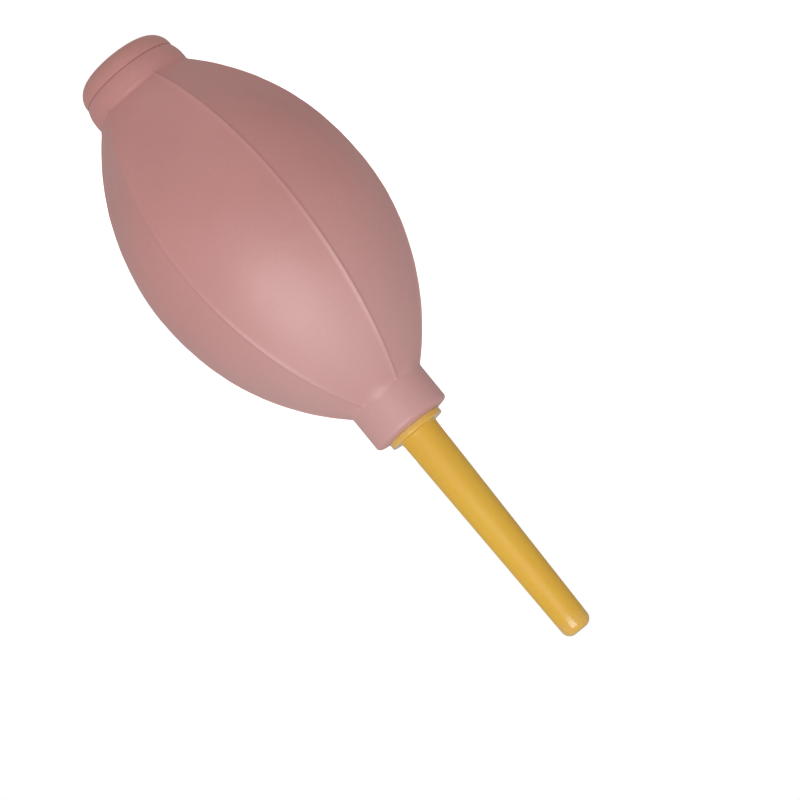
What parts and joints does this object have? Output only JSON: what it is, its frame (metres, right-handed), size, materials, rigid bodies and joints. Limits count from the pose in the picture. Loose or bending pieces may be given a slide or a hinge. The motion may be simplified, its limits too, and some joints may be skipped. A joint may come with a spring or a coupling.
{
  "type": "dust blower bulb",
  "caption": "Hand dust blower: a soft ribbed bulb with a rear intake valve and a long tapered nozzle that blows a fine jet of air.",
  "frame": {"origin": "centre of the rear cap's flat face, on which the blower stands", "axes": "+Z along the blower's axis from the rear cap to the nozzle tip; two of the six ribs lie in the XZ plane"},
  "size_m": [0.061, 0.0596, 0.17],
  "materials": {
    "bulb_silicone": "matte moulded silicone, dusty pink",
    "cap_silicone": "matte moulded silicone, dusty pink, slightly deeper",
    "nozzle_plastic": "satin moulded plastic, mustard yellow",
    "grille_plastic": "matte black moulded plastic",
    "filter_foam": "open-cell foam, off-white",
    "insert_plastic": "matte natural moulded plastic",
    "valve_silicone": "translucent white silicone",
    "seal_rubber": "black rubber"
  },
  "bodies": {
    "root": {"bulb": "bulb_silicone", "rear_cap": "cap_silicone", "intake_grille": "grille_plastic", "intake_filter": "filter_foam", "valve_housing": "insert_plastic"},
    "intake_flap": {"intake_valve": "valve_silicone"},
    "front_end": {"front_bush": "insert_plastic", "outlet_seat": "insert_plastic"},
    "outlet_flap": {"outlet_valve": "valve_silicone"},
    "nozzle": {"nozzle": "nozzle_plastic", "nozzle_o_ring": "seal_rubber"}
  },
  "joints": [
    {"name": "squeeze", "type": "slide", "parent": "root", "child": "front_end", "axis": [0, 0, -1], "range_m": [0, 0.025], "stiffness_N_per_m": 900, "deforming": ["bulb"]},
    {"name": "intake_lift", "type": "slide", "parent": "root", "child": "intake_flap", "axis": [0, 0, 1], "range_m": [0, 0.001], "stiffness_N_per_m": 10},
    {"name": "outlet_lift", "type": "slide", "parent": "front_end", "child": "outlet_flap", "axis": [0, 0, 1], "range_m": [0, 0.001], "stiffness_N_per_m": 10},
    {"name": "nozzle_pull", "type": "slide", "parent": "front_end", "child": "nozzle", "axis": [0, 0, 1], "range_m": [0, 0.012]}
  ]
}
